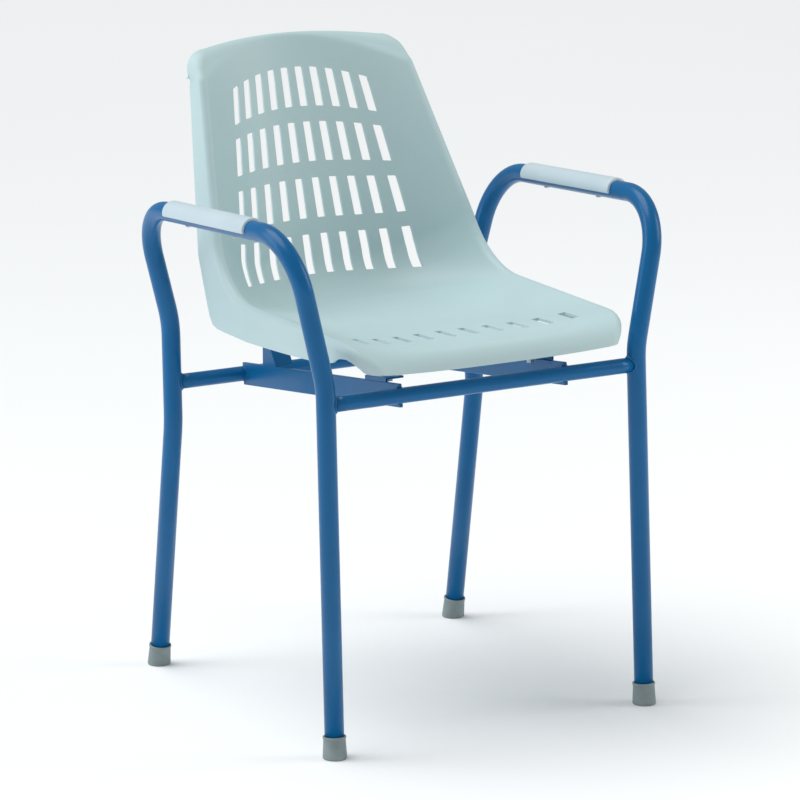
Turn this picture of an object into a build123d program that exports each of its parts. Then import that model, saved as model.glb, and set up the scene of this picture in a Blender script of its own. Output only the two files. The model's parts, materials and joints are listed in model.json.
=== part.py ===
from build123d import *
import math
import os

# Shower chair: two bent tube side frames joined by two cross rails, two flat bars with four brackets
# between the rails, and a one-piece moulded seat shell on top.
# Millimetres. The sitter faces -Y, +Z is up and the sitter's left is +X. The dimensions below are
# measured from the floor point in the middle of the four feet, and the saved parts are moved so that
# the origin is on the floor under the middle of the chair's overall depth.

# ---------------------------------------------------------------- driving dimensions
MIDDLE_OF_DEPTH_Y = 23.4

# Side frame tube, given by its bend points. Each one is (X, Y, Z) on the tube's axis.
LEG_TUBE_DIAMETER = 25.0
LEG_TUBE_WALL = 1.5
FRONT_FOOT = (233.4, -241.6, 0.0)
FRONT_KINK = (230.6, -216.0, 474.0)
FRONT_ARM_CORNER = (271.7, -205.5, 665.5)
REAR_ARM_CORNER = (271.7, 199.0, 640.5)
REAR_UPPER_KINK = (229.3, 202.3, 480.5)
REAR_LOWER_KINK = (233.3, 190.0, 346.0)
REAR_FOOT = (231.7, 243.0, 0.0)
BEND_RADII = (150.0, 75.0, 79.0, 132.0, 120.0)

# Cross rails and seat bars.
RAIL_DIAMETER = 20.0
RAIL_WALL = 1.5
FRONT_RAIL_Y = -217.2
FRONT_RAIL_Z = 452.0
REAR_RAIL_Y = 194.8
REAR_RAIL_Z = 399.4
BAR_OUTER_X = 125.3
BAR_THICKNESS = 5.0
BAR_HEIGHT = 30.0

# Seat brackets, folded from sheet.
BRACKET_SHEET = 3.0
BRACKET_INNER_X = 99.0
REAR_BRACKET_TOP_Z = 447.0
REAR_BRACKET_FRONT_Y = 104.0
REAR_BRACKET_TOP_FRONT_Y = 117.5
REAR_BRACKET_BACK_Y = 140.0
FRONT_BRACKET_FRONT_Y = -184.0
FRONT_BRACKET_BACK_Y = -131.0
FRONT_BRACKET_RISE = 6.0

# Seat fixings: an M6 screw through each bracket and a bush into an insert in the shell's boss.
FRONT_FIXING_X = 106.0
REAR_FIXING_X = 111.5
REAR_FIXING_Y = 130.0
FRONT_FIXING_Y = -157.5
SCREW_DIAMETER = 5.9
SCREW_HOLE_DIAMETER = 6.6
SCREW_HEAD_DIAMETER = 10.0
SCREW_HEAD_HEIGHT = 4.0
SCREW_REACH = 22.0
WASHER_DIAMETER = 12.0
WASHER_THICKNESS = 1.2
BUSH_DIAMETER = 15.0
BUSH_HEIGHT = 5.0
INSERT_DIAMETER = 8.0
INSERT_LENGTH = 14.0
INSERT_BORE = 6.1
BOSS_DIAMETER = 18.0
BOSS_BORE_SPARE = 4.0

# Seat shell, centre line in the Y-Z plane: front lip, seat, bend, back and top lip.
SHELL_WALL = 3.5
SEAT_FRONT = (-232.0, 511.0)
SEAT_BACK_CORNER = (196.5, 492.3)
SEAT_BEND_RADIUS = 65.0
BACK_LEAN = 16.4
BACK_TOP_Z = 830.0
FRONT_ROLL_RADIUS = 24.0
TOP_ROLL_RADIUS = 6.5

# Seat shell, side edge: the centre of the rolled rim, seen from the side.
RIM_FRONT = (-194.0, 517.0)
RIM_CORNER = (105.0, 521.5)
RIM_BEND_RADIUS = 130.0
RIM_LEAN = 27.7
RIM_TOP_Z = 790.0
RIM_RADIUS = 9.0
RIM_HALF_WIDTH_FRONT = 197.0
RIM_HALF_WIDTH_SEAT = 200.5
RIM_HALF_WIDTH_BACK = 192.5
RIM_HALF_WIDTH_TOP = 156.0
SKIRT_FRONT = 15.0
SKIRT_SEAT = 37.0
SKIRT_BACK = 38.5
SKIRT_TOP = 20.0
SKIRT_SHORTEST = 5.0
FRONT_CORNER_INSET = 31.0
FRONT_CORNER_GROWTH = 10.0
FRONT_CORNER_ADVANCE = 44.0
FRONT_CORNER_DROP = 26.0
TOP_CORNER_INSET = 23.0
TOP_CORNER_GROWTH = 25.0
TOP_CORNER_ADVANCE = 14.0

# Drainage slots: rows of ten, fanned out towards the seat. There are four rows in the back and one in
# the front of the seat.
SLOTS_PER_ROW = 10
SLOT_CORNER_RADIUS = 1.5
BACK_SLOT_WIDTH = 11.5
BACK_SLOT_LENGTH = 54.0
BACK_ROW_HEIGHTS = (764.5, 692.5, 619.5, 547.0)
BACK_ROW_PITCHES = (22.4, 24.3, 26.2, 28.5)
BACK_ROW_SAG = 1.0 / 1170.0
SEAT_ROW_Y = -150.0
SEAT_ROW_PITCH = 34.4
SEAT_ROW_SAG = 1.0 / 850.0
SEAT_SLOT_WIDTH = 10.0
SEAT_SLOT_LENGTH = 44.0

# Armrest pads.
PAD_FRONT_Y = -105.0
PAD_REAR_Y = 113.0
PAD_THICKNESS = 3.5
PAD_HALF_ANGLE = 97.0
PAD_SCREW_INSET = 45.0
PAD_SCREW_DIAMETER = 4.0
PAD_SCREW_HEAD = 8.0
PAD_SCREW_HEAD_HEIGHT = 1.2
PAD_SCREW_HEAD_GAP = 0.2
PAD_SCREW_BITE = 2.4

# Rubber ferrules.
FERRULE_HEIGHT = 29.0
FERRULE_TOP_DIAMETER = 28.4
FERRULE_BOTTOM_DIAMETER = 31.0
FERRULE_LIP = 0.8
FERRULE_LIP_HEIGHT = 3.0
FERRULE_BASE = 4.0
FERRULE_CLEARANCE = 0.1
DISC_DIAMETER = 23.0
DISC_THICKNESS = 2.0

PARTS_FOLDER = "parts"


# ---------------------------------------------------------------- small helpers
def mirrored(point):
    return (-point[0], point[1], point[2])


def blend(start, end, share):
    return start + (end - start) * share


def along(point, direction, distance):
    """A point in the Y-Z plane, moved along a direction."""
    return (point[0] + direction[0] * distance, point[1] + direction[1] * distance)


def rod(start, end, diameter):
    """A round bar between two points."""
    axis = Vector(*end) - Vector(*start)
    section = Plane(origin=start, z_dir=axis) * Circle(diameter / 2)
    return extrude(section, amount=axis.length)


def sheet(outline, low_x, high_x):
    """A plate between two X positions, cut to an outline given in (Y, Z)."""
    face = Plane.YZ * make_face(Polyline(*outline, close=True))
    return Pos(low_x, 0, 0) * extrude(face, amount=high_x - low_x)


def save(node, shape):
    """One node, one STEP file."""
    placed = Pos(0, -MIDDLE_OF_DEPTH_Y, 0) * shape
    export_step(placed, os.path.join(PARTS_FOLDER, node + ".step"))


# ---------------------------------------------------------------- side frames, rails and bars
def foot_axis(foot, kink):
    """The foot's plane: origin at the foot, Z up along the leg."""
    return Plane(origin=foot, z_dir=Vector(*kink) - Vector(*foot))


def leg_end(foot, kink):
    """Where the tube ends inside its ferrule."""
    direction = (Vector(*kink) - Vector(*foot)).normalized()
    return tuple(Vector(*foot) + direction * (FERRULE_BASE + DISC_THICKNESS))


def side_frame_path(place):
    """The tube's axis from the front foot over the arm to the rear foot."""
    points = [
        place(leg_end(FRONT_FOOT, FRONT_KINK)),
        place(FRONT_KINK),
        place(FRONT_ARM_CORNER),
        place(REAR_ARM_CORNER),
        place(REAR_UPPER_KINK),
        place(REAR_LOWER_KINK),
        place(leg_end(REAR_FOOT, REAR_LOWER_KINK)),
    ]
    return FilletPolyline(*points, radius=list(BEND_RADII))


def side_frame(place, hollow):
    path = side_frame_path(place)
    start = Plane(origin=path @ 0, z_dir=path % 0)
    section = Circle(LEG_TUBE_DIAMETER / 2)
    if hollow:
        section -= Circle(LEG_TUBE_DIAMETER / 2 - LEG_TUBE_WALL)
    return sweep(start * section, path=path)


def cross_rail(rail_y, rail_z, hollow):
    half = FRONT_FOOT[0]
    tube = rod((-half, rail_y, rail_z), (half, rail_y, rail_z), RAIL_DIAMETER)
    if hollow:
        bore = RAIL_DIAMETER - 2 * RAIL_WALL
        tube -= rod((-half, rail_y, rail_z), (half, rail_y, rail_z), bore)
    return tube


BAR_RAKE = math.atan2(FRONT_RAIL_Z - REAR_RAIL_Z, REAR_RAIL_Y - FRONT_RAIL_Y)


def bar_top_z(y):
    """Height of the seat bars' top edge at a given Y."""
    axis_z = FRONT_RAIL_Z - (y - FRONT_RAIL_Y) * math.tan(BAR_RAKE)
    return axis_z + BAR_HEIGHT / 2 / math.cos(BAR_RAKE)


def seat_bar(rails):
    """Flat bar on edge, notched round both rails as far as their middles."""
    half_height = BAR_HEIGHT / 2
    up = (math.sin(BAR_RAKE), math.cos(BAR_RAKE))
    front = (FRONT_RAIL_Y, FRONT_RAIL_Z)
    rear = (REAR_RAIL_Y, REAR_RAIL_Z)
    outline = [
        along(front, up, -half_height),
        along(rear, up, -half_height),
        along(rear, up, half_height),
        along(front, up, half_height),
    ]
    bar = sheet(outline, BAR_OUTER_X - BAR_THICKNESS, BAR_OUTER_X)
    for rail in rails:
        bar -= rail
    return bar


# ---------------------------------------------------------------- seat brackets and fixings
def rear_bracket():
    """Side gusset, leaning front wall and level top tab, folded from one sheet."""
    top = REAR_BRACKET_TOP_Z
    foot_front = (REAR_BRACKET_FRONT_Y, bar_top_z(REAR_BRACKET_FRONT_Y))
    foot_back = (REAR_BRACKET_BACK_Y, bar_top_z(REAR_BRACKET_BACK_Y))
    top_front = (REAR_BRACKET_TOP_FRONT_Y, top)
    top_back = (REAR_BRACKET_BACK_Y, top)
    gusset = sheet([foot_front, foot_back, top_back, top_front], BAR_OUTER_X - BRACKET_SHEET, BAR_OUTER_X)
    wall_outline = [
        foot_front,
        (foot_front[0] + BRACKET_SHEET, bar_top_z(REAR_BRACKET_FRONT_Y + BRACKET_SHEET)),
        (top_front[0] + BRACKET_SHEET, top),
        top_front,
    ]
    wall = sheet(wall_outline, BRACKET_INNER_X, BAR_OUTER_X)
    tab_outline = [
        (REAR_BRACKET_TOP_FRONT_Y, top - BRACKET_SHEET),
        (REAR_BRACKET_BACK_Y, top - BRACKET_SHEET),
        top_back,
        top_front,
    ]
    tab = sheet(tab_outline, BRACKET_INNER_X, BAR_OUTER_X)
    hole = Pos(REAR_FIXING_X, REAR_FIXING_Y, top) * Cylinder(SCREW_HOLE_DIAMETER / 2, 4 * BRACKET_SHEET)
    return gusset + wall + tab - hole


def front_fixing_frame():
    """Plane on the front bracket's tab at the screw: level across, raked with the bar."""
    z = bar_top_z(FRONT_FIXING_Y) + FRONT_BRACKET_RISE
    normal = Vector(0, math.sin(BAR_RAKE), math.cos(BAR_RAKE))
    return Plane(origin=(FRONT_FIXING_X, FRONT_FIXING_Y, z), x_dir=(1, 0, 0), z_dir=normal)


def rear_fixing_frame():
    return Plane(origin=(REAR_FIXING_X, REAR_FIXING_Y, REAR_BRACKET_TOP_Z), x_dir=(1, 0, 0), z_dir=(0, 0, 1))


def front_bracket():
    """Low angle on the bar's top edge, with its tab turned in under the seat."""
    rise = FRONT_BRACKET_RISE
    tab_low = rise - BRACKET_SHEET
    ends = (FRONT_BRACKET_FRONT_Y, FRONT_BRACKET_BACK_Y)
    foot = [(y, bar_top_z(y)) for y in ends]
    tab_under = [(y, bar_top_z(y) + tab_low) for y in ends]
    tab_over = [(y, bar_top_z(y) + rise) for y in ends]
    wall = sheet([foot[0], foot[1], tab_over[1], tab_over[0]], BAR_OUTER_X - BRACKET_SHEET, BAR_OUTER_X)
    tab = sheet([tab_under[0], tab_under[1], tab_over[1], tab_over[0]], BRACKET_INNER_X, BAR_OUTER_X)
    hole = front_fixing_frame() * Cylinder(SCREW_HOLE_DIAMETER / 2, 4 * BRACKET_SHEET)
    return wall + tab - hole


def washer(frame):
    ring = Cylinder(WASHER_DIAMETER / 2, WASHER_THICKNESS, align=(Align.CENTER, Align.CENTER, Align.MAX))
    ring -= Cylinder(SCREW_HOLE_DIAMETER / 2, 3 * WASHER_THICKNESS)
    return frame * Pos(0, 0, -BRACKET_SHEET) * ring


def screw(frame):
    """Hexagon head screw, pushed up from below."""
    seat = -BRACKET_SHEET - WASHER_THICKNESS
    head = extrude(RegularPolygon(SCREW_HEAD_DIAMETER / 2, 6, major_radius=False), amount=-SCREW_HEAD_HEIGHT)
    shank = Cylinder(SCREW_DIAMETER / 2, SCREW_REACH - seat, align=(Align.CENTER, Align.CENTER, Align.MIN))
    return frame * Pos(0, 0, seat) * (head + shank)


def bush(frame):
    ring = Cylinder(BUSH_DIAMETER / 2, BUSH_HEIGHT, align=(Align.CENTER, Align.CENTER, Align.MIN))
    ring -= Cylinder(SCREW_HOLE_DIAMETER / 2, 3 * BUSH_HEIGHT)
    return frame * ring


def insert(frame):
    """Threaded brass insert in the mouth of the boss."""
    sleeve = Cylinder(INSERT_DIAMETER / 2, INSERT_LENGTH, align=(Align.CENTER, Align.CENTER, Align.MIN))
    sleeve -= Cylinder(INSERT_BORE / 2, 3 * INSERT_LENGTH)
    return frame * Pos(0, 0, BUSH_HEIGHT) * sleeve


# ---------------------------------------------------------------- seat shell
def direction_of(angle):
    """Unit vector in the Y-Z plane, the angle measured from straight up towards +Y."""
    return (math.sin(math.radians(angle)), math.cos(math.radians(angle)))


def left_of(direction):
    """The direction turned a quarter turn towards the sitter's side."""
    return (-direction[1], direction[0])


class BentLine:
    """Two straight runs in the Y-Z plane joined by an arc. Place 0 to 1 is the first run, 1 to 2
    the arc and 2 to 3 the second run."""

    def __init__(self, start, corner, end, radius):
        first = math.atan2(corner[1] - start[1], corner[0] - start[0])
        second = math.atan2(end[1] - corner[1], end[0] - corner[0])
        setback = radius * math.tan((second - first) / 2)
        self.start = start
        self.end = end
        self.radius = radius
        self.first = first
        self.second = second
        self.arc_start = along(corner, (math.cos(first), math.sin(first)), -setback)
        self.arc_end = along(corner, (math.cos(second), math.sin(second)), setback)
        self.centre = along(self.arc_start, left_of((math.cos(first), math.sin(first))), radius)

    def point(self, place):
        """The point and the direction of travel there."""
        if place <= 1:
            here = tuple(blend(a, b, place) for a, b in zip(self.start, self.arc_start))
            return here, (math.cos(self.first), math.sin(self.first))
        if place >= 2:
            here = tuple(blend(a, b, place - 2) for a, b in zip(self.arc_end, self.end))
            return here, (math.cos(self.second), math.sin(self.second))
        angle = blend(self.first, self.second, place - 1)
        travel = (math.cos(angle), math.sin(angle))
        return along(self.centre, left_of(travel), -self.radius), travel


BACK_RISE = BACK_TOP_Z - SEAT_BACK_CORNER[1]
BACK_TOP = (SEAT_BACK_CORNER[0] + BACK_RISE * math.tan(math.radians(BACK_LEAN)), BACK_TOP_Z)
RIM_RISE = RIM_TOP_Z - RIM_CORNER[1]
RIM_TOP = (RIM_CORNER[0] + RIM_RISE * math.tan(math.radians(RIM_LEAN)), RIM_TOP_Z)
CENTRE_LINE = BentLine(SEAT_FRONT, SEAT_BACK_CORNER, BACK_TOP, SEAT_BEND_RADIUS)
RIM_LINE = BentLine(RIM_FRONT, RIM_CORNER, RIM_TOP, RIM_BEND_RADIUS)


class Station:
    """What the shell's cross-section needs at one place along it: the centre point, the rim's
    centre and half width, the direction that the rim faces, its radius, the skirt's depth and how
    sharply the surface rises towards the rim."""

    def __init__(self, centre, half_width, rim, facing, radius, skirt, rise_power):
        self.centre = centre
        self.half_width = half_width
        self.rim = rim
        self.facing = facing
        self.radius = radius
        self.skirt = skirt
        self.rise_power = rise_power


def front_station(turn):
    """The front roll, turn 0 on the seat and 1 at the lip."""
    angle = turn * math.pi / 2
    facing = (-math.sin(angle), math.cos(angle))
    closing = 1 - math.cos(angle)
    roll_centre = (SEAT_FRONT[0], SEAT_FRONT[1] - FRONT_ROLL_RADIUS)
    rim = (
        RIM_FRONT[0] - FRONT_CORNER_ADVANCE * math.sin(angle),
        RIM_FRONT[1] - FRONT_CORNER_DROP * closing,
    )
    return Station(
        centre=along(roll_centre, facing, FRONT_ROLL_RADIUS),
        half_width=RIM_HALF_WIDTH_FRONT - FRONT_CORNER_INSET * closing,
        rim=rim,
        facing=facing,
        radius=RIM_RADIUS + FRONT_CORNER_GROWTH * closing,
        skirt=max(SKIRT_SHORTEST, SKIRT_FRONT * (1 - math.sin(angle))),
        rise_power=3.5,
    )


def top_station(turn):
    """The roll along the top edge, turn 0 on the back and 1 at the lip behind it."""
    angle = turn * math.pi / 2
    up_back = direction_of(BACK_LEAN)
    up_rim = direction_of(RIM_LEAN)
    out_back = left_of(up_back)
    out_rim = left_of(up_rim)
    sine, cosine = math.sin(angle), math.cos(angle)
    closing = 1 - cosine
    centre = along(along(BACK_TOP, up_back, TOP_ROLL_RADIUS * sine), out_back, -TOP_ROLL_RADIUS * closing)
    rim = along(along(RIM_TOP, up_rim, TOP_CORNER_ADVANCE * sine), out_rim, -TOP_CORNER_ADVANCE * sine)
    facing = (out_rim[0] * cosine + up_rim[0] * sine, out_rim[1] * cosine + up_rim[1] * sine)
    return Station(
        centre=centre,
        half_width=RIM_HALF_WIDTH_TOP - TOP_CORNER_INSET * closing,
        rim=rim,
        facing=facing,
        radius=RIM_RADIUS + TOP_CORNER_GROWTH * closing,
        skirt=max(SKIRT_SHORTEST, SKIRT_TOP * (1 - sine)),
        rise_power=2.0,
    )


def bend_skirt(share):
    """Skirt depth round the bend, where the skirt's edge turns more tightly than the rim."""
    whole = math.radians(90 - RIM_LEAN)
    from_seat = (RIM_BEND_RADIUS + SKIRT_SEAT) / math.cos(whole * share) - RIM_BEND_RADIUS
    from_back = (RIM_BEND_RADIUS + SKIRT_BACK) / math.cos(whole * (1 - share)) - RIM_BEND_RADIUS
    sharpness = 9
    return (from_seat ** -sharpness + from_back ** -sharpness) ** (-1 / sharpness)


def station(place):
    """Place -1 to 0 is the front roll, 0 to 1 the seat, 1 to 2 the bend, 2 to 3 the back and 3 to 4
    the top roll."""
    if place < 0:
        return front_station(-place)
    if place > 3:
        return top_station(place - 3)
    centre, _ = CENTRE_LINE.point(place)
    rim, travel = RIM_LINE.point(place)
    if place <= 1:
        half_width = blend(RIM_HALF_WIDTH_FRONT, RIM_HALF_WIDTH_SEAT, place)
        skirt = blend(SKIRT_FRONT, SKIRT_SEAT, place ** 0.45)
        rise_power = blend(3.5, 3.2, place)
    elif place <= 2:
        half_width = blend(RIM_HALF_WIDTH_SEAT, RIM_HALF_WIDTH_BACK, (place - 1) ** 1.5)
        skirt = bend_skirt(place - 1)
        rise_power = blend(3.2, 3.0, place - 1)
    else:
        half_width = blend(RIM_HALF_WIDTH_BACK, RIM_HALF_WIDTH_TOP, place - 2)
        skirt = blend(SKIRT_BACK, SKIRT_TOP, place - 2)
        rise_power = blend(3.0, 2.0, (place - 2) ** 0.6)
    return Station(centre, half_width, rim, left_of(travel), RIM_RADIUS, skirt, rise_power)


INNER_STEPS = 9
ROLL_STEPS = 5
SKIRT_STEPS = 3


def half_section(place):
    """Points of the shell's visible side from the centre line to the skirt's edge, on the +X side."""
    here = station(place)
    slope = 0.3
    for _ in range(30):
        reach = here.half_width - here.radius * math.sin(slope)
        crest = along(here.rim, here.facing, here.radius * math.cos(slope))
        rise = (crest[0] - here.centre[0], crest[1] - here.centre[1])
        height = rise[0] * here.facing[0] + rise[1] * here.facing[1]
        slope = (slope + math.atan(max(0.0, here.rise_power * height / reach))) / 2
    points = []
    for step in range(INNER_STEPS):
        share = 1 - (1 - step / INNER_STEPS) ** 1.35
        y, z = along(here.centre, rise, share ** here.rise_power)
        points.append((reach * share, y, z))
    for step in range(ROLL_STEPS):
        angle = -slope + (math.pi / 2 + slope) * step / ROLL_STEPS
        y, z = along(here.rim, here.facing, here.radius * math.cos(angle))
        points.append((here.half_width + here.radius * math.sin(angle), y, z))
    for step in range(SKIRT_STEPS + 1):
        y, z = along(here.rim, here.facing, -here.skirt * step / SKIRT_STEPS)
        points.append((here.half_width + here.radius, y, z))
    return points


def full_section(place):
    half = half_section(place)
    return [Vector(*mirrored(point)) for point in reversed(half[1:])] + [Vector(*point) for point in half]


def spread(first, last, steps):
    return [blend(first, last, step / steps) for step in range(steps)]


PLACES = spread(-1, 0, 5) + spread(0, 1, 16) + spread(1, 2, 8) + spread(2, 3, 14) + spread(3, 4, 5) + [4]


def grid_normal(grid, row, column):
    """Normal of the point grid, towards the underside."""
    low_row, high_row = max(row - 1, 0), min(row + 1, len(grid) - 1)
    low_column, high_column = max(column - 1, 0), min(column + 1, len(grid[0]) - 1)
    lengthwise = grid[high_row][column] - grid[low_row][column]
    across = grid[row][high_column] - grid[row][low_column]
    return lengthwise.cross(across).normalized()


def skin(grid, shares):
    """One smooth face through the rows of points, every row splined with the same parameters."""
    sections = [Wire([Edge.make_spline(row, parameters=shares)]) for row in grid]
    return Shell.make_loft(sections).faces()[0]


def shell_blank():
    """The shell without slots: two surfaces a wall apart, closed by ruled faces round the edge."""
    outside = [full_section(place) for place in PLACES]
    inside = []
    for row, points in enumerate(outside):
        inside.append([p + grid_normal(outside, row, column) * SHELL_WALL for column, p in enumerate(points)])
    middle = outside[len(outside) // 2]
    distances = [0.0]
    for before, after in zip(middle, middle[1:]):
        distances.append(distances[-1] + (after - before).length)
    shares = [distance / distances[-1] for distance in distances]
    faces = []
    borders = []
    for grid in (outside, inside):
        face = skin(grid, shares)
        faces.append(face)
        borders.append(face.edges())
    for edge in borders[0]:
        partner = min(borders[1], key=lambda other: ((other @ 0.5) - (edge @ 0.5)).length)
        faces.append(Face.make_surface_from_curves(edge, partner))
    return Solid(Shell(faces))


def slot_cutter(width, length, plane):
    """A round-cornered bar through the shell."""
    outline = RectangleRounded(width, length, SLOT_CORNER_RADIUS)
    return extrude(plane * outline, amount=30, both=True)


def back_slots():
    up = direction_of(BACK_LEAN)
    out = left_of(up)
    rows_length = (BACK_ROW_HEIGHTS[0] - BACK_ROW_HEIGHTS[-1]) / math.cos(math.radians(BACK_LEAN))
    fan = math.degrees(math.atan((BACK_ROW_PITCHES[-1] - BACK_ROW_PITCHES[0]) / rows_length))
    cutters = []
    for height, pitch in zip(BACK_ROW_HEIGHTS, BACK_ROW_PITCHES):
        row_y = BACK_TOP[0] - (BACK_TOP[1] - height) * math.tan(math.radians(BACK_LEAN))
        for index in range(SLOTS_PER_ROW):
            column = index - (SLOTS_PER_ROW - 1) / 2
            x = column * pitch
            y, z = along((row_y, height), up, -x * x * BACK_ROW_SAG)
            frame = Plane(origin=(x, y, z), x_dir=(1, 0, 0), z_dir=(0, out[0], out[1]))
            turned = frame.rotated((0, 0, fan * column))
            cutters.append(slot_cutter(BACK_SLOT_WIDTH, BACK_SLOT_LENGTH, turned))
    return cutters


def seat_slots():
    cutters = []
    for index in range(SLOTS_PER_ROW):
        x = (index - (SLOTS_PER_ROW - 1) / 2) * SEAT_ROW_PITCH
        frame = Plane(origin=(x, SEAT_ROW_Y - x * x * SEAT_ROW_SAG, SEAT_FRONT[1]))
        cutters.append(slot_cutter(SEAT_SLOT_WIDTH, SEAT_SLOT_LENGTH, frame))
    return cutters


def boss(frame, blank):
    """A post under the shell, ending in the middle of the wall, bored for its insert."""
    post = Cylinder(BOSS_DIAMETER / 2, 80, align=(Align.CENTER, Align.CENTER, Align.MIN))
    post = frame * Pos(0, 0, BUSH_HEIGHT) * post
    pieces = (post - blank).solids()
    lower = min(pieces, key=lambda piece: piece.center().Z)
    depth = SCREW_REACH - BUSH_HEIGHT + BOSS_BORE_SPARE
    bore = Cylinder(INSERT_DIAMETER / 2, 2 * depth)
    return lower - frame * Pos(0, 0, BUSH_HEIGHT) * bore


def seat_shell(frames):
    blank = shell_blank()
    shell = blank
    for frame in frames:
        shell += boss(frame, blank)
    return shell - back_slots() - seat_slots()


# ---------------------------------------------------------------- armrests
ARM_START = Vector(*FRONT_ARM_CORNER)
ARM_DIRECTION = (Vector(*REAR_ARM_CORNER) - ARM_START).normalized()


def arm_frame(y):
    """Plane across the left arm tube at a given Y: X across, Y up, Z backwards along the tube."""
    origin = ARM_START + ARM_DIRECTION * ((y - ARM_START.Y) / ARM_DIRECTION.Y)
    return Plane(origin=origin, x_dir=(-1, 0, 0), z_dir=ARM_DIRECTION)


def armrest_pad():
    """A moulded half sleeve over the top of the tube."""
    inner = LEG_TUBE_DIAMETER / 2
    outer = inner + PAD_THICKNESS
    half = math.radians(PAD_HALF_ANGLE)
    wedge = [(0, 0)]
    for share in (-1.0, -0.5, 0.0, 0.5, 1.0):
        wedge.append((2 * outer * math.sin(half * share), 2 * outer * math.cos(half * share)))
    ring = Circle(outer) - Circle(inner)
    section = ring & make_face(Polyline(*wedge, close=True))
    length = (PAD_REAR_Y - PAD_FRONT_Y) / ARM_DIRECTION.Y
    pad = extrude(arm_frame(PAD_FRONT_Y) * section, amount=length)
    for y in pad_screw_places():
        pad -= pad_screw(y)
    return pad


def pad_screw_places():
    return (PAD_FRONT_Y + PAD_SCREW_INSET, PAD_REAR_Y - PAD_SCREW_INSET)


def upright_frame(y):
    """Plane on the left arm tube's axis, Z pointing up through the pad."""
    across = arm_frame(y)
    return Plane(origin=across.origin, x_dir=(1, 0, 0), z_dir=across.y_dir)


def pad_screw(y):
    """Screw from under the tube, through both walls into the pad."""
    under = -LEG_TUBE_DIAMETER / 2 - PAD_SCREW_HEAD_GAP
    reach = PAD_SCREW_HEAD_GAP + LEG_TUBE_DIAMETER + PAD_SCREW_BITE
    shank = Cylinder(PAD_SCREW_DIAMETER / 2, reach, align=(Align.CENTER, Align.CENTER, Align.MIN))
    head = Cylinder(PAD_SCREW_HEAD / 2, PAD_SCREW_HEAD_HEIGHT, align=(Align.CENTER, Align.CENTER, Align.MAX))
    return upright_frame(y) * Pos(0, 0, under) * (shank + head)


def pad_screw_hole(y):
    return upright_frame(y) * Cylinder(PAD_SCREW_DIAMETER / 2 + 0.1, 2 * LEG_TUBE_DIAMETER)


# ---------------------------------------------------------------- feet
def ferrule(foot, kink):
    """Tapered rubber foot on the leg's end, flat where it stands on the floor."""
    bottom = FERRULE_BOTTOM_DIAMETER / 2
    top = FERRULE_TOP_DIAMETER / 2
    lip = top + FERRULE_LIP
    below = -8.0
    outline = [
        (0, below),
        (bottom, below),
        (bottom, 2.0),
        (top, FERRULE_HEIGHT - FERRULE_LIP_HEIGHT),
        (lip, FERRULE_HEIGHT - FERRULE_LIP_HEIGHT),
        (lip, FERRULE_HEIGHT),
        (0, FERRULE_HEIGHT),
    ]
    body = revolve(Plane.XZ * make_face(Polyline(*outline, close=True)), Axis.Z)
    bore_radius = LEG_TUBE_DIAMETER / 2 + FERRULE_CLEARANCE
    bore = Pos(0, 0, FERRULE_BASE) * Cylinder(bore_radius, 60, align=(Align.CENTER, Align.CENTER, Align.MIN))
    floor = Pos(foot[0], foot[1], -25) * Box(100, 100, 50)
    return foot_axis(foot, kink) * (body - bore) - floor


def ferrule_disc(foot, kink):
    disc = Cylinder(DISC_DIAMETER / 2, DISC_THICKNESS, align=(Align.CENTER, Align.CENTER, Align.MIN))
    return foot_axis(foot, kink) * Pos(0, 0, FERRULE_BASE) * disc


# ---------------------------------------------------------------- assembly
def both_sides(shape):
    """The shape and its mirror image across the middle plane."""
    return [shape, mirror(shape, about=Plane.YZ)]


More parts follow.
